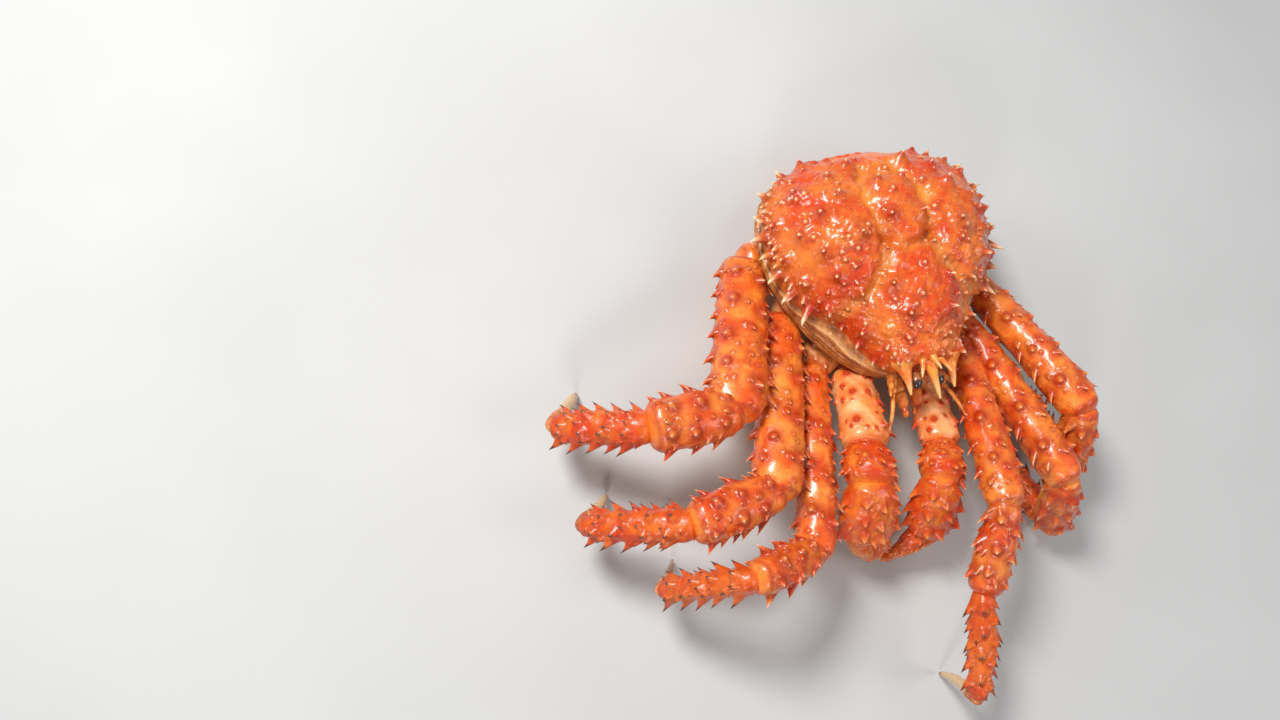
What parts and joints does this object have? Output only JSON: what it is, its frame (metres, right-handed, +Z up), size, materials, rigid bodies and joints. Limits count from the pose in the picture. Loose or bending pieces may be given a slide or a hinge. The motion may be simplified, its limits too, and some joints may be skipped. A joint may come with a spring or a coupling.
{
  "type": "red king crab",
  "caption": "Still life-size model of a boiled king crab, spiny and orange-red, lying on its belly with its legs swept forward and partly folded.",
  "frame": {"origin": "on the ground under the middle of the belly flap", "axes": "+Z up, the crab's front points towards -Y and its own left side towards +X"},
  "size_m": [0.273, 0.2704, 0.0754],
  "materials": {
    "shell": "wet orange-red shell with darker red round the spines",
    "limb": "wet orange-red leg shell, paler below, spine tips dark or cream",
    "claw": "wet peach-orange claw shell with red spots",
    "belly": "pale orange-cream underside",
    "mouth": "orange-brown mouth parts and feelers",
    "eye": "glossy dark eye"
  },
  "bodies": {
    "root": {"abdomen": "belly", "antenna_left_stem": "mouth", "antenna_left_whip": "mouth", "antenna_right_stem": "mouth", "antenna_right_whip": "mouth", "antennule_left": "mouth", "antennule_right": "mouth", "carapace": "shell", "claw_left_carpus": "claw", "claw_left_finger": "claw", "claw_left_hip": "claw", "claw_left_merus": "claw", "claw_left_palm": "claw", "claw_right_carpus": "claw", "claw_right_finger": "claw", "claw_right_hip": "claw", "claw_right_merus": "claw", "claw_right_palm": "claw", "eye_left": "eye", "eye_right": "eye", "eyestalk_left": "mouth", "eyestalk_right": "mouth", "leg_fourth_left_carpus": "limb", "leg_fourth_left_dactyl": "limb", "leg_fourth_left_hip": "limb", "leg_fourth_left_merus": "limb", "leg_fourth_left_propodus": "limb", "leg_fourth_right_carpus": "limb", "leg_fourth_right_dactyl": "limb", "leg_fourth_right_hip": "limb", "leg_fourth_right_merus": "limb", "leg_fourth_right_propodus": "limb", "leg_second_left_carpus": "limb", "leg_second_left_dactyl": "limb", "leg_second_left_hip": "limb", "leg_second_left_merus": "limb", "leg_second_left_propodus": "limb", "leg_second_right_carpus": "limb", "leg_second_right_dactyl": "limb", "leg_second_right_hip": "limb", "leg_second_right_merus": "limb", "leg_second_right_propodus": "limb", "leg_third_left_carpus": "limb", "leg_third_left_dactyl": "limb", "leg_third_left_hip": "limb", "leg_third_left_merus": "limb", "leg_third_left_propodus": "limb", "leg_third_right_carpus": "limb", "leg_third_right_dactyl": "limb", "leg_third_right_hip": "limb", "leg_third_right_merus": "limb", "leg_third_right_propodus": "limb", "mouthpart_left": "mouth", "mouthpart_right": "mouth", "rostrum": "shell", "thorax": "belly"}
  },
  "joints": []
}
